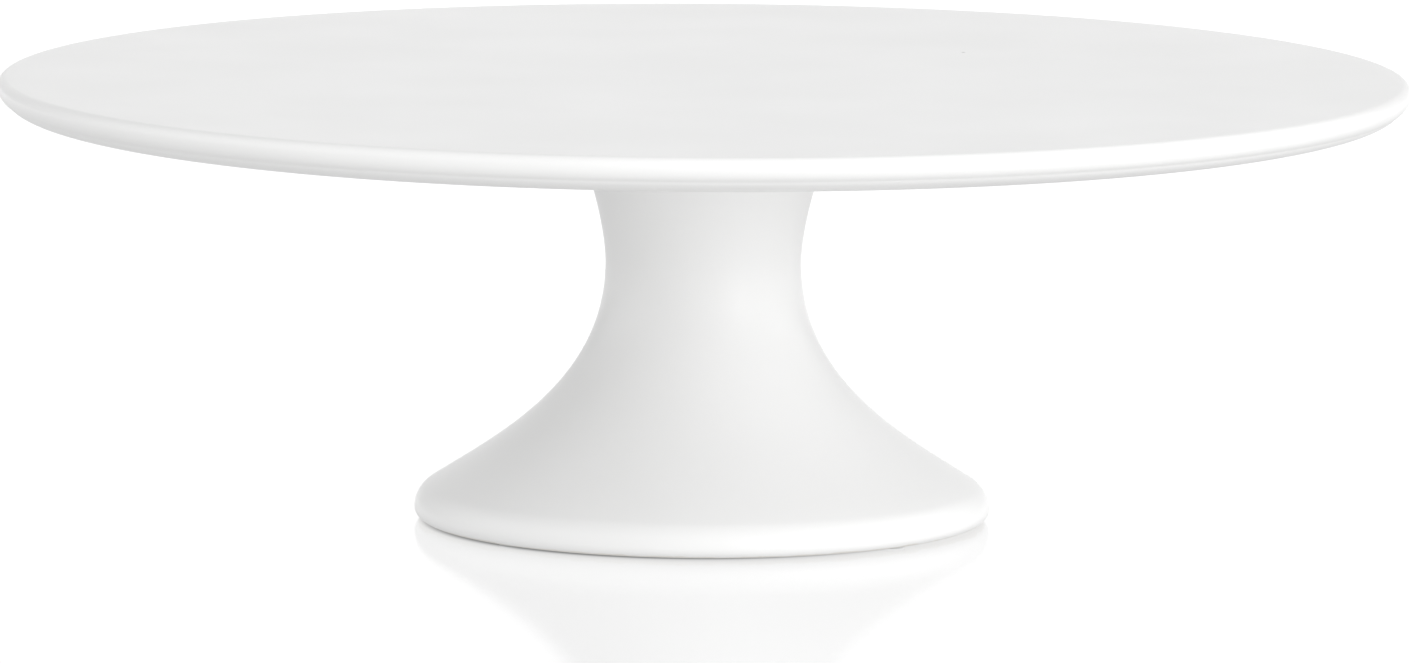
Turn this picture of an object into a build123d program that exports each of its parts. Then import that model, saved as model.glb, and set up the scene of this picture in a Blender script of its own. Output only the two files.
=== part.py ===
from build123d import *
import os

# Two-part porcelain cake stand. A flat round plate with a short hub stands on a hollow
# flared pedestal. A screw set in the hub passes through the pedestal's web, and a wing nut
# inside the stem clamps the two together on a thin gasket.
# Lengths are millimetres. +Z is up, and the origin is the middle of the base, on the table.

# ---------------------------------------------------------------- driving dimensions
plate_radius = 152.4
stand_height = 96.6

# plate
rim_upper_round = 2.1
rim_lower_round = 3.5
crease_radius = 150.5
crease_height = 91.4
belly_radius = 143.0
belly_height = 88.5
belly_pull = (149.0, 89.3)
plate_seat_height = 87.0
seat_radius = 31.0
hub_radius = 18.0
hub_depth = 10.0
hub_root_round = 1.0
socket_mouth_radius = 8.0
socket_inner_radius = 9.0
socket_depth = 8.5

# pedestal
foot_radius = 62.35
foot_lower_round = 2.2
foot_upper_round = 6.2
foot_upper_turn = 57.6
foot_clearance = 0.4
foot_ring_inner_radius = 53.0
ring_inner_height = 2.5
wall = 5.0
neck_radius = 21.2
neck_height = 56.0
flare_pull = 17.9
neck_pull_down = 25.8
neck_pull_up = 6.4
top_radius = 29.5
top_lean = 28.6
top_pull = 11.1
top_edge_round = 1.2
recess_clearance = 0.4
recess_floor_gap = 0.3
web_thickness = 6.0
bolt_hole_radius = 3.5
chamber_radius = 18.4
chamber_pull = (18.1, 69.2)
cavity_pull_up = 5.9
cavity_pull_down = 35.2
cavity_foot_pull = 8.3

# gasket between the plate and the pedestal
gasket_thickness = 1.0
gasket_inner_radius = 19.6
gasket_outer_radius = 27.0

# M6 screw, its washers and its nut
thread_radius = 3.0
head_across_flats = 10.0
head_thickness = 4.0
head_cover = 0.5
tip_height = 58.0
tip_chamfer = 0.8
resin_below_mouth = 0.5
washer_hole_radius = 3.2
cushion_radius = 10.0
cushion_thickness = 2.0
washer_radius = 9.0
washer_thickness = 1.6
nut_bore_radius = 3.05
nut_base_radius = 6.2
nut_end_radius = 5.0
nut_height = 6.5
# corners of one wing, each a radius and a distance below the nut's seat
wing_drop = 14.0
wing_corners = [(3.65, 1.2), (7.2, 1.6), (13.5, 8.0), (13.5, wing_drop), (8.5, wing_drop), (3.65, 5.9)]
wing_thickness = 2.6
wing_corner_round = 2.4
wing_edge_round = 0.7

# pads under the foot
pad_count = 4
pad_first_angle = 45.0
pad_circle_radius = 57.0
pad_radius = 3.0
pad_thickness = 1.2
pad_pocket_radius = 3.1
pad_edge_round = 0.25

# ---------------------------------------------------------------- worked-out heights
pedestal_top = plate_seat_height - gasket_thickness
hub_bottom = plate_seat_height - hub_depth
recess_radius = hub_radius + recess_clearance
recess_floor = hub_bottom - recess_floor_gap
web_underside = recess_floor - web_thickness
cushion_bottom = web_underside - cushion_thickness
nut_seat = cushion_bottom - washer_thickness
socket_end = hub_bottom + socket_depth
head_top = socket_end - head_cover
head_underside = head_top - head_thickness
resin_bottom = hub_bottom + resin_below_mouth

# ---------------------------------------------------------------- plate
with BuildPart() as plate:
    with BuildSketch(Plane.XZ):
        with BuildLine():
            top = Line((0, stand_height), (plate_radius - rim_upper_round, stand_height))
            upper_rim = JernArc(top @ 1, (1, 0), rim_upper_round, -90)
            lower_rim = RadiusArc(upper_rim @ 1, (crease_radius, crease_height), rim_lower_round)
            belly = Bezier(lower_rim @ 1, belly_pull, (belly_radius, belly_height))
            underside = Line(belly @ 1, (seat_radius, plate_seat_height))
            hub = Polyline(
                underside @ 1,
                (hub_radius, plate_seat_height),
                (hub_radius, hub_bottom),
                (socket_mouth_radius, hub_bottom),
                (socket_inner_radius, socket_end),
                (0, socket_end),
                (0, stand_height),
            )
        make_face()
    revolve(axis=Axis.Z)
    circles = plate.edges().filter_by(GeomType.CIRCLE)
    hub_edges = circles.filter_by(lambda edge: abs(edge.radius - hub_radius) < 0.01)
    fillet(hub_edges, hub_root_round)

# ---------------------------------------------------------------- pedestal
with BuildPart() as pedestal:
    with BuildSketch(Plane.XZ):
        with BuildLine():
            ring = Line(
                (foot_ring_inner_radius, foot_clearance),
                (foot_radius - foot_lower_round, foot_clearance),
            )
            foot_corner = JernArc(ring @ 1, (1, 0), foot_lower_round, 90)
            foot_shoulder = JernArc(foot_corner @ 1, (0, 1), foot_upper_round, foot_upper_turn)
            flare = Bezier(
                foot_shoulder @ 1,
                foot_shoulder @ 1 + (foot_shoulder % 1) * flare_pull,
                (neck_radius, neck_height - neck_pull_down),
                (neck_radius, neck_height),
            )
            top_direction = Vector(0, 1).rotate(Axis.Z, -top_lean)
            top_corner = Vector(top_radius, pedestal_top)
            upper_stem = Bezier(
                flare @ 1,
                (neck_radius, neck_height + neck_pull_up),
                top_corner - top_direction * top_pull,
                top_corner,
            )
            top_and_web = Polyline(
                upper_stem @ 1,
                (recess_radius, pedestal_top),
                (recess_radius, recess_floor),
                (bolt_hole_radius, recess_floor),
                (bolt_hole_radius, web_underside),
                (chamber_radius, web_underside),
            )
            # the cavity keeps about one wall thickness inside the stem
            upper_cavity = Bezier(
                top_and_web @ 1,
                chamber_pull,
                (neck_radius - wall, neck_height + cavity_pull_up),
                (neck_radius - wall, neck_height),
            )
            lower_cavity = Bezier(
                upper_cavity @ 1,
                (neck_radius - wall, neck_height - cavity_pull_down),
                (foot_ring_inner_radius, ring_inner_height + cavity_foot_pull),
                (foot_ring_inner_radius, ring_inner_height),
            )
            Line(lower_cavity @ 1, ring @ 0)
        make_face()
    revolve(axis=Axis.Z)
    circles = pedestal.edges().filter_by(GeomType.CIRCLE)
    top_edge = circles.filter_by(lambda edge: abs(edge.radius - top_radius) < 0.01)
    fillet(top_edge, top_edge_round)
    with BuildSketch(Plane.XY.offset(foot_clearance)):
        with PolarLocations(pad_circle_radius, pad_count, start_angle=pad_first_angle):
            Circle(pad_pocket_radius)
    extrude(amount=pad_thickness - foot_clearance, mode=Mode.SUBTRACT)

# ---------------------------------------------------------------- gasket
with BuildPart() as joint_gasket:
    with BuildSketch(Plane.XY.offset(pedestal_top)):
        Circle(gasket_outer_radius)
        Circle(gasket_inner_radius, mode=Mode.SUBTRACT)
    extrude(amount=gasket_thickness)

# ---------------------------------------------------------------- screw and the resin that holds it
with BuildPart() as anchor_bolt:
    with BuildSketch(Plane.XY.offset(head_underside)):
        RegularPolygon(head_across_flats / 2, 6, major_radius=False)
    extrude(amount=head_thickness)
    with BuildSketch(Plane.XY.offset(tip_height)):
        Circle(thread_radius)
    extrude(amount=head_underside - tip_height)
    chamfer(anchor_bolt.faces().sort_by(Axis.Z)[0].edges(), tip_chamfer)

with BuildPart() as potting_resin:
    socket_taper = (socket_inner_radius - socket_mouth_radius) / socket_depth
    resin_mouth_radius = socket_mouth_radius + socket_taper * resin_below_mouth
    with BuildSketch(Plane.XZ):
        with BuildLine():
            Polyline(
                (0, resin_bottom),
                (resin_mouth_radius, resin_bottom),
                (socket_inner_radius, socket_end),
                (0, socket_end),
                close=True,
            )
        make_face()
    revolve(axis=Axis.Z)
    with BuildSketch(Plane.XY.offset(head_underside)):
        RegularPolygon(head_across_flats / 2, 6, major_radius=False)
    extrude(amount=head_thickness, mode=Mode.SUBTRACT)
    with BuildSketch(Plane.XY.offset(resin_bottom)):
        Circle(thread_radius)
    extrude(amount=head_underside - resin_bottom, mode=Mode.SUBTRACT)

# ---------------------------------------------------------------- washers
with BuildPart() as cushion_washer:
    with BuildSketch(Plane.XY.offset(cushion_bottom)):
        Circle(cushion_radius)
        Circle(washer_hole_radius, mode=Mode.SUBTRACT)
    extrude(amount=cushion_thickness)

with BuildPart() as steel_washer:
    with BuildSketch(Plane.XY.offset(nut_seat)):
        Circle(washer_radius)
        Circle(washer_hole_radius, mode=Mode.SUBTRACT)
    extrude(amount=washer_thickness)

# ---------------------------------------------------------------- wing nut
with BuildPart() as wing_nut:
    with BuildSketch(Plane.XZ) as wing_outline:
        with BuildLine():
            Polyline([(radius, nut_seat - drop) for radius, drop in wing_corners], close=True)
        make_face()
        fillet(wing_outline.vertices().group_by(Axis.X)[-1], wing_corner_round)
        tip = wing_outline.vertices().group_by(Axis.Y)[0].sort_by(Axis.X)[0]
        fillet(tip, wing_corner_round)
    extrude(amount=wing_thickness / 2, both=True)
    wing_rims = wing_nut.faces().filter_by(Axis.Y).edges()
    fillet(wing_rims, wing_edge_round)
    mirror(about=Plane.YZ)
    with BuildSketch(Plane.XY.offset(nut_seat - nut_height)):
        Circle(nut_end_radius)
    with BuildSketch(Plane.XY.offset(nut_seat)):
        Circle(nut_base_radius)
    loft()
    with BuildSketch(Plane.XY.offset(nut_seat)):
        Circle(nut_bore_radius)
    extrude(amount=-wing_drop, mode=Mode.SUBTRACT)

# ---------------------------------------------------------------- foot pads
with BuildPart() as foot_pads:
    with BuildSketch(Plane.XY):
        with PolarLocations(pad_circle_radius, pad_count, start_angle=pad_first_angle):
            Circle(pad_radius)
    extrude(amount=pad_thickness)
    fillet(foot_pads.faces().group_by(Axis.Z)[0].edges(), pad_edge_round)

# ---------------------------------------------------------------- labels and files
plate.part.label = "plate"
pedestal.part.label = "pedestal"
joint_gasket.part.label = "joint_gasket"
anchor_bolt.part.label = "anchor_bolt"
potting_resin.part.label = "potting_resin"
cushion_washer.part.label = "cushion_washer"
steel_washer.part.label = "steel_washer"
wing_nut.part.label = "wing_nut"
foot_pads.part.label = "foot_pads"

os.makedirs("parts", exist_ok=True)
export_step(plate.part, "parts/plate.step")
export_step(pedestal.part, "parts/pedestal.step")
export_step(joint_gasket.part, "parts/joint_gasket.step")
export_step(anchor_bolt.part, "parts/anchor_bolt.step")
export_step(potting_resin.part, "parts/potting_resin.step")
export_step(cushion_washer.part, "parts/cushion_washer.step")
export_step(steel_washer.part, "parts/steel_washer.step")
export_step(wing_nut.part, "parts/wing_nut.step")
export_step(foot_pads.part, "parts/foot_pads.step")
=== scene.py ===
import math

import bmesh
import bpy
import numpy as np
from mathutils import Matrix, Vector, noise


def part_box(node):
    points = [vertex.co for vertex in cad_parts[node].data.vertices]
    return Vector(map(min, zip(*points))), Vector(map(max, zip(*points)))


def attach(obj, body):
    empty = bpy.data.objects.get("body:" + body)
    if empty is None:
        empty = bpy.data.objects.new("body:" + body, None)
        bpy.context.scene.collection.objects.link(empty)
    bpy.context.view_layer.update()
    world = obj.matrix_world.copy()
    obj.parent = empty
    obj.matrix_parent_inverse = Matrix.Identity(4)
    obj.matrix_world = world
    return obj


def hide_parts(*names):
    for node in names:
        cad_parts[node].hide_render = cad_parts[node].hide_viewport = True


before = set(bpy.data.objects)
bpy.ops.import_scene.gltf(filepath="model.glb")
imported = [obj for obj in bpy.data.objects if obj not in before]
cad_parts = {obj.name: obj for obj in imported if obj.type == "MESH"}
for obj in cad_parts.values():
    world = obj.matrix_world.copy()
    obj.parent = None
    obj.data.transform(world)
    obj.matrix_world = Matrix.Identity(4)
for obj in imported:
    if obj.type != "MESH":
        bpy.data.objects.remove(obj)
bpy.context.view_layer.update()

# A white porcelain cake stand, its fastening under the plate, and a small studio.
# Outlines are (radius, height) points in millimetres, and meshes are made in metres.

MM = 0.001
# points round a full turn
AROUND_LARGE = 288
AROUND_SMALL = 96
AROUND_PAD = 48


# ---------------------------------------------------------------- sizes from the frame
def box_mm(node):
    """Lowest and highest corner of a CAD node, in millimetres."""
    low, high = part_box(node)
    return low / MM, high / MM


plate_low, plate_high = box_mm("plate")
pedestal_low, pedestal_high = box_mm("pedestal")
gasket_low, gasket_high = box_mm("joint_gasket")
screw_low, screw_high = box_mm("anchor_bolt")
resin_low, resin_high = box_mm("potting_resin")
cushion_low, cushion_high = box_mm("cushion_washer")
washer_low, washer_high = box_mm("steel_washer")
nut_low, nut_high = box_mm("wing_nut")
pads_low, pads_high = box_mm("foot_pads")

plate_radius = plate_high.x
plate_top = plate_high.z
seat_height = gasket_high.z
hub_bottom = plate_low.z
foot_radius = pedestal_high.x
foot_bottom = pedestal_low.z
pedestal_top = pedestal_high.z
web_underside = cushion_high.z

# the plate's own sizes
rim_upper_round = 2.1
rim_lower_round = 3.5
crease = (150.5, 91.4)
crease_soft_angle = 5
belly_pull = (149.0, 89.3)
belly_end = (143.0, 88.5)
seat_radius = 31.0
hub_radius = 18.0
hub_round = 1.0
socket_mouth_radius = 8.0
socket_inner_radius = 9.0
plate_unevenness = 0.05
plate_wave = 70

# the pedestal's own sizes
foot_lower_round = 2.2
foot_upper_round = 6.2
foot_upper_turn = 57.6
foot_ring_inner = 53.0
ring_inner_height = 2.5
ring_edge_round = 0.6
neck_radius = 21.2
neck_height = 56.0
flare_pull = 17.9
neck_pull_down = 25.8
neck_pull_up = 6.4
top_radius = 29.5
top_lean = 28.6
top_pull = 11.1
top_round = 1.0
recess_radius = 18.4
recess_floor = 76.7
bolt_hole_radius = 3.5
chamber_radius = 18.4
chamber_side = (18.1, 69.2)
chamber_pull = (17.4, 65.5)
wall = 5.0
cavity_pull_up = 5.9
cavity_pull_down = 35.2
cavity_foot_pull = 8.3
pedestal_unevenness = 0.07
pedestal_wave = 45

# gasket and washers
gasket_inner_radius = 19.6
washer_hole_radius = 3.2

# M6 screw and wing nut
thread_radius = 3.0
thread_depth = 0.55
pitch = 1.0
head_thickness = 4.0
nut_bore_radius = 3.05
nut_end_radius = 5.0
nut_height = 6.5
wing_half_thickness = 1.3
wing_corner_round = 2.6
voxel = 0.22

# pads under the foot
pad_count = 4
pad_first_angle = 45
pad_circle_radius = 57.0
pad_radius = 3.0
pad_pocket_radius = 3.1


# ---------------------------------------------------------------- outlines
def straight(start, end, steps=1):
    """Evenly spaced points from start to end, with both ends."""
    return [tuple(p) for p in np.linspace(start, end, steps + 1)]


def arc(centre, radius, first, last, steps=8):
    """Points on a circle from one angle to another, in degrees."""
    angles = np.radians(np.linspace(first, last, steps + 1))
    return [(centre[0] + radius * math.cos(a), centre[1] + radius * math.sin(a)) for a in angles]


def curve(*handles, steps=24):
    """Points on the Bezier curve with these handles."""
    points = []
    for t in np.linspace(0, 1, steps + 1):
        level = [np.array(h, float) for h in handles]
        while len(level) > 1:
            level = [a + (b - a) * t for a, b in zip(level, level[1:])]
        points.append(tuple(level[0]))
    return points


def rounded(corners, radius, steps=4):
    """A run of straight lines whose inner corners are bridged by short curves."""
    corners = [Vector(c) for c in corners]
    run = [tuple(corners[0])]
    for before, corner, after in zip(corners, corners[1:], corners[2:]):
        back, ahead = before - corner, after - corner
        start = corner + back.normalized() * min(radius, back.length * 0.45)
        end = corner + ahead.normalized() * min(radius, ahead.length * 0.45)
        run += curve(start, corner, end, steps=steps)
    run.append(tuple(corners[-1]))
    return run


def joined(*runs):
    """One outline from several runs, without the points that they share."""
    points = []
    for run in runs:
        for point in run:
            if not points or (Vector(point) - Vector(points[-1])).length > 1e-4:
                points.append(tuple(point))
    return points


# ---------------------------------------------------------------- mesh helpers
def new_piece(name, vertices, faces, sharp=38):
    """A smooth-shaded mesh object with outward normals, and hard edges where it turns sharply."""
    mesh = bpy.data.meshes.new(name)
    mesh.from_pydata(vertices, [], faces)
    obj = bpy.data.objects.new(name, mesh)
    bpy.context.scene.collection.objects.link(obj)
    tidy_mesh(obj, sharp)
    return obj


def tidy_mesh(obj, sharp=38):
    """Merges points that coincide, turns normals outward and sets smooth shading."""
    work = bmesh.new()
    work.from_mesh(obj.data)
    bmesh.ops.remove_doubles(work, verts=work.verts, dist=1e-7)
    bmesh.ops.recalc_face_normals(work, faces=work.faces)
    work.to_mesh(obj.data)
    work.free()
    shade(obj, sharp)


def shade(obj, sharp=38):
    """Smooth shading, with hard edges where faces meet at more than this many degrees."""
    obj.data.shade_smooth()
    obj.data.set_sharp_from_angle(angle=math.radians(sharp))


def turned(name, outline, around=AROUND_LARGE, closed=False, shape=None, centre=(0, 0), sharp=38):
    """A piece swept round a vertical axis from its outline.

    shape(radius, height, angle) may give a point another radius.
    """
    angles = [2 * math.pi * i / around for i in range(around)]
    vertices, rings = [], []
    for radius, height in outline:
        if radius < 1e-6:
            rings.append([len(vertices)] * around)
            vertices.append((centre[0] * MM, centre[1] * MM, height * MM))
            continue
        rings.append(list(range(len(vertices), len(vertices) + around)))
        for a in angles:
            r = shape(radius, height, a) if shape else radius
            x = centre[0] + r * math.cos(a)
            y = centre[1] + r * math.sin(a)
            vertices.append((x * MM, y * MM, height * MM))
    faces = []
    pairs = list(zip(rings, rings[1:]))
    if closed:
        pairs.append((rings[-1], rings[0]))
    for one, two in pairs:
        for i in range(around):
            j = (i + 1) % around
            face = [one[i], one[j], two[j], two[i]]
            faces.append(list(dict.fromkeys(face)))
    return new_piece(name, vertices, faces, sharp)


def apply_modifiers(obj):
    """Turns the object's modifiers into its mesh."""
    bpy.context.view_layer.update()
    mesh = bpy.data.meshes.new_from_object(obj.evaluated_get(bpy.context.evaluated_depsgraph_get()))
    obj.modifiers.clear()
    obj.data = mesh


def cut(obj, cutter):
    """Takes the cutter's shape out of obj, and removes the cutter."""
    modifier = obj.modifiers.new("cut", "BOOLEAN")
    modifier.operation = "DIFFERENCE"
    modifier.solver = "EXACT"
    modifier.object = cutter
    apply_modifiers(obj)
    bpy.data.objects.remove(cutter)


def join_into(obj, others):
    """Adds the meshes of others to obj, and removes them."""
    work = bmesh.new()
    work.from_mesh(obj.data)
    for other in others:
        work.from_mesh(other.data)
        bpy.data.objects.remove(other)
    work.to_mesh(obj.data)
    work.free()


def uneven(obj, amount, size, seed):
    """Moves each point inward by up to amount, in waves about size long, as hand-finished clay has."""
    offset = Vector((seed, 2 * seed, 3 * seed))
    normals = [v.normal.copy() for v in obj.data.vertices]
    for vertex, normal in zip(obj.data.vertices, normals):
        wave = noise.noise(vertex.co / (size * MM) + offset)
        vertex.co -= normal * (amount * MM) * (0.5 + 0.5 * wave)


# ---------------------------------------------------------------- pieces
def make_plate():
    """The porcelain plate: rounded rim with a crease below it, shallow belly, hub with a socket."""
    rim_centre_height = plate_top - rim_upper_round
    upper_centre = (plate_radius - rim_upper_round, rim_centre_height)
    lower_centre = (plate_radius - rim_lower_round, rim_centre_height)
    crease_angle = -math.degrees(math.acos((crease[0] - lower_centre[0]) / rim_lower_round))
    lower_rim = arc(lower_centre, rim_lower_round, 0, crease_angle + crease_soft_angle, steps=12)
    belly = curve(crease, belly_pull, belly_end, steps=20)
    outline = joined(
        straight((0, plate_top), (upper_centre[0], plate_top), steps=40),
        arc(upper_centre, rim_upper_round, 90, 0, steps=14),
        lower_rim,
        curve(lower_rim[-1], crease, belly[2], steps=6),
        belly[2:],
        straight(belly_end, (seat_radius, seat_height), steps=24),
        rounded(
            [
                (seat_radius, seat_height),
                (hub_radius, seat_height),
                (hub_radius, hub_bottom),
                (socket_mouth_radius, hub_bottom),
                (socket_inner_radius, resin_high.z),
                (0, resin_high.z),
            ],
            hub_round,
        ),
    )
    obj = turned("plate_porcelain", outline)
    uneven(obj, plate_unevenness, plate_wave, seed=3.1)
    return obj


def make_pedestal():
    """The hollow porcelain pedestal, with the web for the screw and the pockets for the pads."""
    foot_corner_height = foot_bottom + foot_lower_round
    lower_centre = (foot_radius - foot_lower_round, foot_corner_height)
    upper_centre = (foot_radius - foot_upper_round, foot_corner_height)
    shoulder = arc(upper_centre, foot_upper_round, 0, foot_upper_turn, steps=14)
    shoulder_lean = math.radians(foot_upper_turn)
    flare_handle = (
        shoulder[-1][0] - flare_pull * math.sin(shoulder_lean),
        shoulder[-1][1] + flare_pull * math.cos(shoulder_lean),
    )
    neck = (neck_radius, neck_height)
    neck_handle_down = (neck_radius, neck_height - neck_pull_down)
    neck_handle_up = (neck_radius, neck_height + neck_pull_up)
    lean = math.radians(top_lean)
    top = (top_radius, pedestal_top)
    top_handle = (top_radius - top_pull * math.sin(lean), pedestal_top - top_pull * math.cos(lean))
    flare = curve(shoulder[-1], flare_handle, neck_handle_down, neck, steps=48)
    upper = curve(neck, neck_handle_up, top_handle, top, steps=28)

    inner_neck_radius = neck_radius - wall
    inner_neck = (inner_neck_radius, neck_height)
    inner_handle_up = (inner_neck_radius, neck_height + cavity_pull_up)
    inner_handle_down = (inner_neck_radius, neck_height - cavity_pull_down)
    foot_handle = (foot_ring_inner, ring_inner_height + cavity_foot_pull)
    ring_inside = (foot_ring_inner, ring_inner_height)
    ring_underside = (foot_ring_inner + ring_edge_round, foot_bottom)
    outline = joined(
        straight(ring_underside, (lower_centre[0], foot_bottom), steps=4),
        arc(lower_centre, foot_lower_round, -90, 0, steps=10),
        shoulder,
        flare,
        upper[:-2],
        rounded(
            [
                upper[-3],
                top,
                (recess_radius, pedestal_top),
                (recess_radius, recess_floor),
                (bolt_hole_radius, recess_floor),
                (bolt_hole_radius, web_underside),
                (chamber_radius, web_underside),
                chamber_side,
            ],
            top_round,
        ),
        curve(chamber_side, chamber_pull, inner_handle_up, inner_neck, steps=20),
        curve(inner_neck, inner_handle_down, foot_handle, ring_inside, steps=40),
        rounded([ring_inside, (foot_ring_inner, foot_bottom), ring_underside], ring_edge_round),
    )
    obj = turned("pedestal_porcelain", outline[:-1], closed=True)
    uneven(obj, pedestal_unevenness, pedestal_wave, seed=7.7)
    cut_pad_pockets(obj)
    return obj


def pad_centres():
    """The middle of each pad, as (x, y)."""
    angles = [math.radians(pad_first_angle + 360 / pad_count * i) for i in range(pad_count)]
    return [(pad_circle_radius * math.cos(a), pad_circle_radius * math.sin(a)) for a in angles]


def cut_pad_pockets(pedestal):
    """Takes the pads' shallow pockets out of the foot ring."""
    below, roof = -1, pads_high.z
    outline = [(0, below), (pad_pocket_radius, below), (pad_pocket_radius, roof), (0, roof)]
    for centre in pad_centres():
        cut(pedestal, turned("pocket", outline, around=AROUND_PAD, centre=centre))
    shade(pedestal)


def make_gasket():
    """The silicone ring, its edges rounded."""
    low, high = gasket_low.z, gasket_high.z
    inner, outer = gasket_inner_radius, gasket_high.x
    flat_inner, flat_outer = inner + 0.3, outer - 0.4
    outline = joined(
        straight((flat_inner, low), (flat_outer, low), steps=4),
        curve((flat_outer, low), (outer, low), (outer, high), (flat_outer, high), steps=8),
        straight((flat_outer, high), (flat_inner, high), steps=4),
        curve((flat_inner, high), (inner, high), (inner, low), (flat_inner, low), steps=8),
    )
    return turned("gasket_ring", outline[:-1], around=AROUND_SMALL * 2, closed=True)


def thread_wave(height, angle):
    """From 0 at a thread's root to 1 at its crest, for a right-hand thread."""
    turn = (height / pitch - angle / (2 * math.pi)) % 1.0
    slope = abs(2 * turn - 1)
    return min(max((slope - 0.12) / 0.7, 0), 1)


def make_screw():
    """The M6 screw: chamfered hexagon head in the resin, threaded shank down through the stem."""
    head_high = screw_high.z
    head_low = head_high - head_thickness
    flats = screw_high.y
    corners = flats * 2 / math.sqrt(3)
    tip = screw_low.z

    def hexagon(radius, height, angle):
        if radius < flats * 0.9:
            return radius
        turn = (angle - math.radians(30)) % math.radians(60) - math.radians(30)
        return min(radius, flats / math.cos(turn))

    head_outline = [
        (0, head_high),
        (flats * 0.86, head_high),
        (flats * 1.03, head_high - 0.5),
        (corners, head_high - 0.9),
        (corners, head_low + 0.3),
        (flats * 1.08, head_low),
        (thread_radius, head_low),
        (0, head_low - 0.2),
    ]
    head = turned("screw_head", head_outline, around=AROUND_SMALL, shape=hexagon, sharp=25)

    def thread(radius, height, angle):
        tip_taper = thread_radius - 0.75 + (height - tip) * 0.9
        cut_in = thread_depth * (1 - thread_wave(height, angle))
        return min(tip_taper, thread_radius - cut_in)

    rows_in_a_turn = 14
    rows = int((head_low - tip) / pitch * rows_in_a_turn)
    shank_outline = joined(
        [(0, head_low)],
        straight((thread_radius, head_low), (thread_radius, tip), steps=rows),
        [(0, tip)],
    )
    shank = turned("screw_shank", shank_outline, around=AROUND_SMALL, shape=thread, sharp=60)
    join_into(head, [shank])
    head.name = "screw_m6"
    return head


def make_resin():
    """The resin round the screw's head, with a meniscus at its open face."""
    low, high = resin_low.z, resin_high.z
    taper = (socket_inner_radius - socket_mouth_radius) / (high - hub_bottom)
    mouth = socket_mouth_radius + taper * (low - hub_bottom)
    climb, sag = 1.2, 0.7
    shy = 0.02
    end = (socket_inner_radius - 0.05, high - shy)
    outline = joined(
        curve(
            (thread_radius, low),
            (thread_radius + climb, low + sag),
            (mouth - climb, low + sag),
            (mouth, low),
            steps=14,
        ),
        straight((mouth, low), end, steps=6),
        straight(end, (thread_radius, high - shy), steps=4),
    )
    return turned("resin_fill", outline, around=AROUND_SMALL, closed=True)


def make_cushion():
    """The rubber washer, squeezed so that its rim bulges."""
    low, high = cushion_low.z, cushion_high.z
    middle = (low + high) / 2
    inner, outer = washer_hole_radius, cushion_high.x
    flat_outer = outer - 0.35
    bulge = outer + 0.1
    outline = joined(
        rounded([(inner, middle), (inner, low), (flat_outer, low)], 0.25),
        curve((flat_outer, low), (bulge, low + 0.4), (bulge, high - 0.4), (flat_outer, high), steps=10),
        rounded([(flat_outer, high), (inner, high), (inner, middle)], 0.25),
    )
    return turned("rubber_washer", outline[:-1], around=AROUND_SMALL, closed=True)


def make_washer():
    """The punched steel washer: rolled over at its lower edges, nearly square at the upper ones."""
    low, high = washer_low.z, washer_high.z
    middle = (low + high) / 2
    inner, outer = washer_hole_radius, washer_high.x
    outline = joined(
        rounded([(inner, middle), (inner, low), (outer, low), (outer, middle)], 0.4),
        rounded([(outer, middle), (outer, high), (inner, high), (inner, middle)], 0.12),
    )
    return turned("flat_washer", outline[:-1], around=AROUND_SMALL, closed=True, sharp=50)


def make_wing(side):
    """One wing of the nut, a rounded plate whose faces draw in towards its rim."""
    seat, tips, reach = nut_high.z, nut_low.z, nut_high.x
    corners = [
        (2.0, seat - 1.2),
        (7.2, seat - 1.7),
        (reach, seat - 8.0),
        (reach, tips),
        (8.5, tips),
        (2.0, seat - 5.9),
    ]
    ring = rounded([*corners, corners[0]], wing_corner_round, steps=8)[:-1]
    middle = Vector((9.0, seat - 9.0))
    half = wing_half_thickness
    # how far across the wing, and how far its outline is drawn in there
    levels = [(-half, 0.55), (0.35 - half, 0.12), (0, 0), (half - 0.35, 0.12), (half, 0.55)]
    vertices = []
    for across, inset in levels:
        for point in ring:
            p = Vector(point)
            p += (middle - p).normalized() * inset
            vertices.append((side * p.x * MM, across * MM, p.y * MM))
    n = len(ring)
    last = n * (len(levels) - 1)
    faces = [list(range(n)), list(range(last, last + n))]
    for base in range(0, last, n):
        for i in range(n):
            j = (i + 1) % n
            faces.append([base + i, base + j, base + n + j, base + n + i])
    return new_piece("wing", vertices, faces)


def make_bore_thread(outer):
    """The nut's thread, as a liner for the bore that reaches out to the radius outer."""
    top, bottom = nut_high.z, nut_high.z - nut_height

    def thread(radius, height, angle):
        if radius > nut_bore_radius + 0.3:
            return radius
        return nut_bore_radius + 0.45 * (1 - thread_wave(height, angle))

    outline = joined(
        [(outer, top - 0.12)],
        straight((nut_bore_radius, top - 0.3), (nut_bore_radius, bottom + 0.3), steps=84),
        [(outer, bottom + 0.12)],
    )
    return turned("liner", outline, around=AROUND_SMALL, closed=True, shape=thread, sharp=60)


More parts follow.
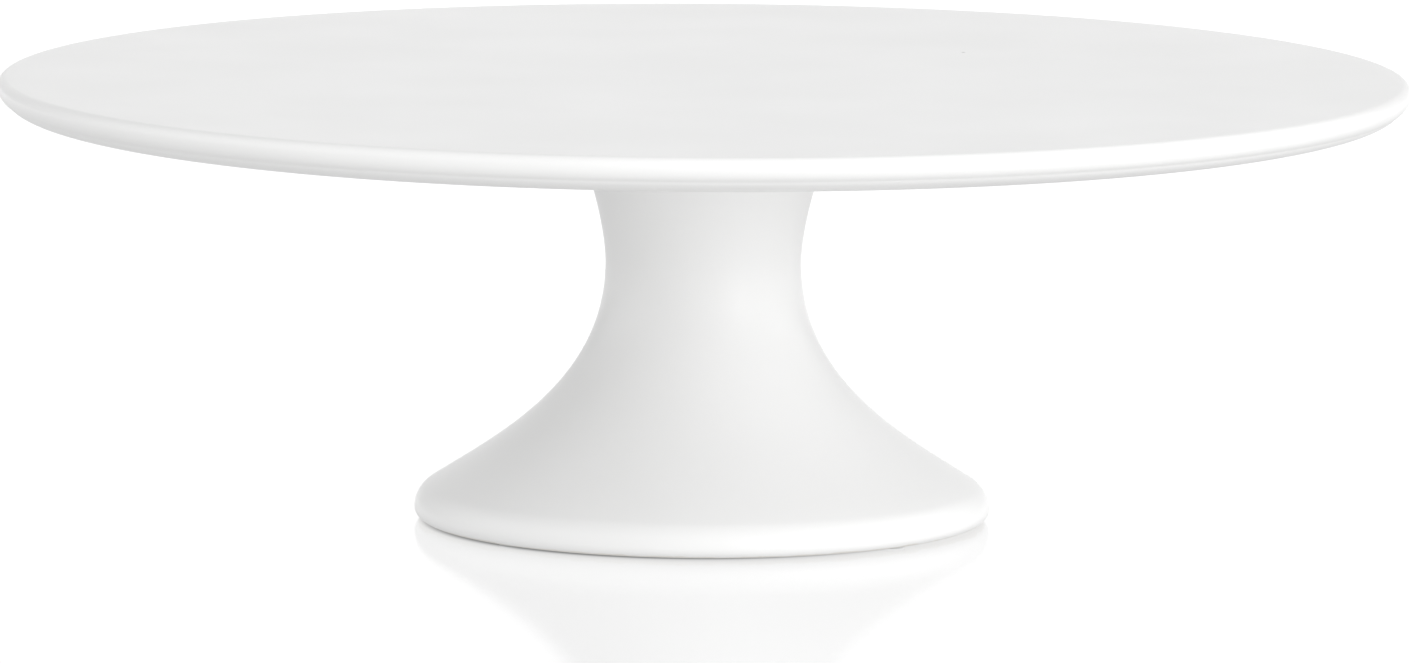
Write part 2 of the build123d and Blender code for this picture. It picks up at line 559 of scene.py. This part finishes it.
def make_wing_nut():
    """The cast wing nut: a tapered hub blended into two wings, with a threaded bore."""
    top, bottom = nut_high.z, nut_high.z - nut_height
    base_radius = nut_high.y
    sides = [(0.1, top), (base_radius, top), (nut_end_radius, bottom), (0.1, bottom)]
    hub_outline = joined([(0, top)], rounded(sides, 0.5), [(0, bottom)])
    nut = turned("wing_nut_cast", hub_outline, around=AROUND_SMALL)
    join_into(nut, [make_wing(1), make_wing(-1)])
    remesh = nut.modifiers.new("blend", "REMESH")
    remesh.mode = "VOXEL"
    remesh.voxel_size = voxel * MM
    smooth = nut.modifiers.new("soften", "SMOOTH")
    smooth.factor = 0.5
    smooth.iterations = 6
    apply_modifiers(nut)
    hole = nut_bore_radius + 0.5
    cutter_outline = [(0, top + 1), (hole, top + 1), (hole, bottom - 1), (0, bottom - 1)]
    cut(nut, turned("bore_cutter", cutter_outline, around=AROUND_SMALL))
    join_into(nut, [make_bore_thread(hole + 0.02)])
    shade(nut, 50)
    return nut


def make_pads():
    """Four thin silicone pads under the foot ring."""
    low, high = pads_low.z, pads_high.z
    edge = 0.4
    outline = joined(
        [(0, low)],
        straight((0.2, low), (pad_radius - 0.5, low), steps=3),
        curve((pad_radius - 0.5, low), (pad_radius, low), (pad_radius, low + edge), steps=6),
        straight((pad_radius, low + edge), (pad_radius, high), steps=2),
        [(0, high)],
    )
    pads = [turned("foot_pads_soft", outline, around=AROUND_PAD, centre=c) for c in pad_centres()]
    join_into(pads[0], pads[1:])
    return pads[0]


# ---------------------------------------------------------------- materials
# Patterns are placed in metres: noise scales are per metre, and bump depths are metres.
class Surface:
    """A material under construction: adds nodes and links with short calls."""

    def __init__(self, name):
        self.material = bpy.data.materials.new(name)
        self.material.use_nodes = True
        self.tree = self.material.node_tree
        self.shader = self.tree.nodes["Principled BSDF"]
        self.place = self.add("ShaderNodeTexCoord").outputs["Object"]

    def add(self, kind, **settings):
        """A new node with these settings."""
        node = self.tree.nodes.new(kind)
        for key, value in settings.items():
            setattr(node, key, value)
        return node

    def put(self, socket, value):
        """Links an output to the socket, or sets the socket to a number or colour."""
        if isinstance(value, bpy.types.NodeSocket):
            self.tree.links.new(value, socket)
        else:
            socket.default_value = value

    def noise(self, scale, detail=2.0):
        """Cloudy noise from about 0 to 1."""
        node = self.add("ShaderNodeTexNoise")
        self.put(node.inputs["Vector"], self.place)
        self.put(node.inputs["Scale"], scale)
        self.put(node.inputs["Detail"], detail)
        return node.outputs["Fac"]

    def math(self, operation, one, two):
        """One sum on two values."""
        node = self.add("ShaderNodeMath", operation=operation)
        self.put(node.inputs[0], one)
        self.put(node.inputs[1], two)
        return node.outputs[0]

    def spread(self, value, low, high, to_low=0.0, to_high=1.0, smooth=True):
        """Maps value from low..high to to_low..to_high."""
        node = self.add("ShaderNodeMapRange", interpolation_type="SMOOTHSTEP" if smooth else "LINEAR")
        self.put(node.inputs["Value"], value)
        self.put(node.inputs["From Min"], low)
        self.put(node.inputs["From Max"], high)
        self.put(node.inputs["To Min"], to_low)
        self.put(node.inputs["To Max"], to_high)
        return node.outputs["Result"]

    def mix(self, share, one, two):
        """Blends two colours."""
        node = self.add("ShaderNodeMix", data_type="RGBA")
        self.put(node.inputs[0], share)
        self.put(node.inputs[6], one)
        self.put(node.inputs[7], two)
        return node.outputs[2]

    def radius(self):
        """Distance from the stand's axis, in metres."""
        parts = self.add("ShaderNodeSeparateXYZ")
        self.put(parts.inputs[0], self.place)
        flat = self.add("ShaderNodeCombineXYZ")
        self.put(flat.inputs[0], parts.outputs[0])
        self.put(flat.inputs[1], parts.outputs[1])
        length = self.add("ShaderNodeVectorMath", operation="LENGTH")
        self.put(length.inputs[0], flat.outputs[0])
        return length.outputs["Value"]

    def height(self):
        """Height above the table, in metres."""
        parts = self.add("ShaderNodeSeparateXYZ")
        self.put(parts.inputs[0], self.place)
        return parts.outputs[2]

    def bump(self, height, depth, before=None):
        """A bump of depth metres where height is 1."""
        node = self.add("ShaderNodeBump")
        self.put(node.inputs["Strength"], 1.0)
        self.put(node.inputs["Distance"], depth)
        self.put(node.inputs["Height"], height)
        if before is not None:
            self.put(node.inputs["Normal"], before)
        return node.outputs["Normal"]

    def set(self, **inputs):
        """Sets or links inputs of the shader, named with underscores."""
        for key, value in inputs.items():
            self.put(self.shader.inputs[key.replace("_", " ")], value)
        return self.material


def iron_specks(s):
    """1 in a few small dots under the glaze, and 0 between them."""
    cells = s.add("ShaderNodeTexVoronoi", feature="F1")
    s.put(cells.inputs["Vector"], s.place)
    s.put(cells.inputs["Scale"], 70.0)
    chosen = s.add("ShaderNodeSeparateColor")
    s.put(chosen.inputs[0], cells.outputs["Color"])
    rare = s.math("GREATER_THAN", chosen.outputs[0], 0.975)
    dot = s.spread(cells.outputs["Distance"], 0.010, 0.022, 1.0, 0.0)
    return s.math("MULTIPLY", rare, dot)


def single_speck(s, x, y):
    """0.85 in one darker speck on top of the plate, and 0 elsewhere."""
    away = s.add("ShaderNodeVectorMath", operation="DISTANCE")
    s.put(away.inputs[0], s.place)
    s.put(away.inputs[1], (x, y, plate_top * MM))
    return s.spread(away.outputs["Value"], 0.0003, 0.0006, 0.85, 0.0)


def porcelain(name, bare):
    """White glazed porcelain. bare(surface) gives 1 where the clay is unglazed, and 0 under glaze."""
    s = Surface(name)
    glaze = s.mix(s.noise(22, detail=3), (0.80, 0.80, 0.795, 1), (0.83, 0.83, 0.828, 1))
    specks = s.math("MULTIPLY", iron_specks(s), 0.6)
    glaze = s.mix(specks, glaze, (0.32, 0.29, 0.26, 1))
    glaze = s.mix(single_speck(s, 0.057, 0.050), glaze, (0.10, 0.09, 0.08, 1))
    clay = s.mix(s.noise(900, detail=4), (0.70, 0.68, 0.64, 1), (0.80, 0.785, 0.75, 1))
    unglazed = bare(s)
    colour = s.mix(unglazed, glaze, clay)

    gloss = s.spread(s.noise(35, detail=3), 0.25, 0.75, 0.285, 0.325)
    roughness = s.spread(unglazed, 0.0, 1.0, gloss, 0.85, smooth=False)

    peel = s.bump(s.noise(190), 0.000022)
    pool = s.bump(s.noise(48, detail=1), 0.00006, peel)
    grain = s.math("MULTIPLY", s.noise(2600, detail=3), unglazed)
    rough = s.bump(grain, 0.00008, pool)
    s.put(s.shader.inputs["IOR"], 1.5)
    return s.set(Base_Color=colour, Roughness=roughness, Normal=rough)


def uneven_line(s, low, high):
    """A limit in metres that wanders between two sizes in millimetres, as a wiped glaze line does."""
    return s.spread(s.noise(160), 0.3, 0.7, low * MM, high * MM)


def within(s, value, limit):
    """1 where value is below the limit, and 0 past it, with a short fade between them."""
    return s.spread(s.math("SUBTRACT", value, limit), -0.0001, 0.0001, 1.0, 0.0)


def bare_foot(s):
    """Unglazed where the foot ring was wiped."""
    return within(s, s.height(), uneven_line(s, foot_bottom + 0.3, foot_bottom + 0.7))


def bare_seat(s):
    """Unglazed on the hub and the seat, where the plate stood in the kiln."""
    near = within(s, s.radius(), uneven_line(s, seat_radius - 1.0, seat_radius - 0.4))
    below = s.spread(s.height(), (seat_height + 0.2) * MM, (seat_height + 0.8) * MM, 1.0, 0.0)
    return s.math("MULTIPLY", near, below)


def zinc_steel(name, grain_scale, grain_depth):
    """Zinc plate with a cloudy lustre, on rolled or cast steel."""
    s = Surface(name)
    colour = s.mix(s.noise(420, detail=4), (0.52, 0.53, 0.55, 1), (0.70, 0.71, 0.72, 1))
    roughness = s.spread(s.noise(1300, detail=3), 0.2, 0.8, 0.26, 0.42)
    normal = s.bump(s.noise(grain_scale, detail=3), grain_depth)
    s.put(s.shader.inputs["Metallic"], 1.0)
    return s.set(Base_Color=colour, Roughness=roughness, Normal=normal)


def black_rubber(name):
    """Matt black rubber with a fine tooth."""
    s = Surface(name)
    colour = s.mix(s.noise(700, detail=3), (0.014, 0.014, 0.014, 1), (0.035, 0.034, 0.033, 1))
    roughness = s.spread(s.noise(500), 0.3, 0.7, 0.62, 0.8)
    normal = s.bump(s.noise(3200, detail=3), 0.00002)
    return s.set(Base_Color=colour, Roughness=roughness, Normal=normal)


def clear_silicone(name):
    """Milky silicone that lets some light through."""
    s = Surface(name)
    colour = s.mix(s.noise(600), (0.70, 0.71, 0.70, 1), (0.78, 0.785, 0.775, 1))
    roughness = s.spread(s.noise(900), 0.3, 0.7, 0.34, 0.46)
    normal = s.bump(s.noise(1500), 0.00001)
    s.put(s.shader.inputs["IOR"], 1.41)
    s.put(s.shader.inputs["Transmission Weight"], 0.35)
    return s.set(Base_Color=colour, Roughness=roughness, Normal=normal)


def cast_resin(name):
    """Cloudy cream resin, poured and left glossy."""
    s = Surface(name)
    colour = s.mix(s.noise(500, detail=3), (0.62, 0.58, 0.48, 1), (0.72, 0.69, 0.60, 1))
    roughness = s.spread(s.noise(700), 0.3, 0.7, 0.16, 0.3)
    normal = s.bump(s.noise(800), 0.00003)
    return s.set(Base_Color=colour, Roughness=roughness, Normal=normal)


# ---------------------------------------------------------------- the stand
def place(piece, body, node, material):
    """Gives a piece its material and its body, and hides the CAD node that it stands for."""
    piece.data.materials.clear()
    piece.data.materials.append(material)
    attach(piece, body)
    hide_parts(node)


steel = zinc_steel("zinc_steel", 1800, 0.000006)
cast_steel = zinc_steel("zinc_casting", 1100, 0.00003)
silicone = clear_silicone("silicone")
place(make_pedestal(), "pedestal", "pedestal", porcelain("porcelain_pedestal", bare_foot))
place(make_plate(), "plate", "plate", porcelain("porcelain_plate", bare_seat))
place(make_gasket(), "pedestal", "joint_gasket", silicone)
place(make_pads(), "pedestal", "foot_pads", silicone)
place(make_screw(), "plate", "anchor_bolt", steel)
place(make_resin(), "plate", "potting_resin", cast_resin("resin"))
place(make_cushion(), "washers", "cushion_washer", black_rubber("rubber"))
place(make_washer(), "washers", "steel_washer", steel)
place(make_wing_nut(), "wing_nut", "wing_nut", cast_steel)


# ---------------------------------------------------------------- studio
WHITE = (1, 1, 1, 1)
BLACK = (0, 0, 0, 1)


def floor_glow_with_painted_shadows(s):
    """How brightly the sheet glows, with a painted contact shadow under the foot ring and painted shade
    that dims it a little all round the stand.
    """
    # moves the painted shadows to the left of the stand, the side away from the key light
    key_shadow_shift = (0.0018, 0.0004, 0)
    painted_shadow_glow_under_ring = 0.22
    shifted = s.add("ShaderNodeVectorMath", operation="ADD")
    s.put(shifted.inputs[0], s.place)
    s.put(shifted.inputs[1], key_shadow_shift)
    away = s.add("ShaderNodeVectorMath", operation="LENGTH")
    s.put(away.inputs[0], shifted.outputs[0])
    distance = away.outputs["Value"]
    # painted shade: the glow dims towards the stand, as the shade beneath the plate would
    glow_with_painted_stand_shade = s.spread(distance, 0.06, 0.22, 0.652, 0.695, smooth=False)
    # painted contact shadow: the glow falls to 0.22 of its strength in a band under the foot ring
    outside = s.spread(distance, 0.0566, 0.0603)
    inside = s.spread(distance, 0.046, 0.052, 1.0, 0.0)
    clear_of_painted_ring_shadow = s.math("MAXIMUM", outside, inside)
    share = s.spread(clear_of_painted_ring_shadow, 0.0, 1.0, painted_shadow_glow_under_ring, 1.0, smooth=False)
    return s.math("MULTIPLY", glow_with_painted_stand_shade, share)


def make_floor():
    """A white glossy sheet, lit from within, that can be seen through from underneath."""
    reach = 30.0
    corners = [(-reach, -reach, 0), (reach, -reach, 0), (reach, reach, 0), (-reach, reach, 0)]
    floor = new_piece("floor", corners, [[0, 1, 2, 3]])
    s = Surface("floor")
    s.set(Base_Color=BLACK, Roughness=0.10, IOR=1.2)
    s.set(Emission_Color=WHITE, Emission_Strength=floor_glow_with_painted_shadows(s))
    clear = s.add("ShaderNodeBsdfTransparent")
    sides = s.add("ShaderNodeNewGeometry")
    both = s.add("ShaderNodeMixShader")
    s.put(both.inputs[0], sides.outputs["Backfacing"])
    s.put(both.inputs[1], s.shader.outputs["BSDF"])
    s.put(both.inputs[2], clear.outputs["BSDF"])
    s.put(s.tree.nodes["Material Output"].inputs["Surface"], both.outputs["Shader"])
    floor.data.materials.append(s.material)


def make_world():
    """A white surround with soft bright regions behind the stand, in front, at the sides and overhead."""
    world = bpy.data.worlds.new("studio")
    bpy.context.scene.world = world
    world.use_nodes = True
    tree = world.node_tree
    coordinates = tree.nodes.new("ShaderNodeTexCoord")
    everywhere = 0.545
    # each region's direction, how tight it is, and its strength
    behind = ((0.0, 1.0, 0.15), 14, 0.58)
    right = ((1.0, 0.0, 0.27), 4, 0.8)
    left = ((-1.0, 0.0, 0.27), 4, 0.88)
    overhead = ((0.0, 0.0, 1.0), 3, 0.04)
    highlight = ((0.642, -0.738, 0.208), 40, 1.7)
    front = ((0.15, -0.85, 0.5), 4, 0.50)

    def calculate(operation, one, two):
        node = tree.nodes.new("ShaderNodeMath")
        node.operation = operation
        for socket, value in zip(node.inputs, (one, two)):
            if isinstance(value, bpy.types.NodeSocket):
                tree.links.new(value, socket)
            else:
                socket.default_value = value
        return node.outputs[0]

    total = everywhere
    for toward, tightness, strength in (behind, right, left, overhead, highlight, front):
        facing = tree.nodes.new("ShaderNodeVectorMath")
        facing.operation = "DOT_PRODUCT"
        tree.links.new(coordinates.outputs["Generated"], facing.inputs[0])
        facing.inputs[1].default_value = Vector(toward).normalized()
        lobe = calculate("POWER", calculate("MAXIMUM", facing.outputs["Value"], 0.0), tightness)
        total = calculate("ADD", calculate("MULTIPLY", lobe, strength), total)
    tree.links.new(total, tree.nodes["Background"].inputs["Strength"])
    tree.nodes["Background"].inputs["Color"].default_value = WHITE


def make_softbox(name, spot, width, depth, power):
    """A soft rectangular light that faces the stand, out of sight and with no reflection of its own."""
    aim = Vector((0, 0, 0.06))
    light = bpy.data.lights.new(name, "AREA")
    light.shape = "RECTANGLE"
    light.size = width
    light.size_y = depth
    light.energy = power
    obj = bpy.data.objects.new(name, light)
    bpy.context.scene.collection.objects.link(obj)
    obj.location = spot
    obj.rotation_euler = (aim - Vector(spot)).to_track_quat("-Z", "Y").to_euler()
    obj.visible_camera = False
    obj.visible_glossy = False


def make_camera():
    """A long lens a little above the plate, rolled by a small angle."""
    distance = 2.434
    height = 0.3651
    pitch_down = 0.13244
    turn = 0.00046
    roll = 0.0063
    camera = bpy.data.cameras.new("camera")
    camera.sensor_width = 36.0
    camera.lens = 288.3
    camera.clip_start = 0.1
    camera.clip_end = 100.0
    obj = bpy.data.objects.new("camera", camera)
    bpy.context.scene.collection.objects.link(obj)
    level = math.cos(pitch_down)
    ahead = Vector((math.sin(turn) * level, math.cos(turn) * level, -math.sin(pitch_down)))
    right = Vector((math.cos(turn), -math.sin(turn), 0))
    up = right.cross(ahead)
    tilted_right = right * math.cos(roll) + up * math.sin(roll)
    tilted_up = up * math.cos(roll) - right * math.sin(roll)
    rotation = Matrix((tilted_right, tilted_up, -ahead)).transposed()
    obj.matrix_world = Matrix.Translation((0, -distance, height)) @ rotation.to_4x4()
    bpy.context.scene.camera = obj


make_floor()
make_world()
make_softbox("key", (1.027, -1.181, 0.383), 0.9, 0.9, 2.4)
make_softbox("side", (1.493, -0.400, 0.464), 0.9, 0.9, 2.6)
make_softbox("low_front", (0.0, -1.0, 0.065), 1.3, 0.11, 2.1)
make_softbox("low_right", (0.9, -0.6, 0.065), 1.3, 0.11, 1.8)
make_camera()
bpy.context.scene.view_settings.view_transform = "Standard"
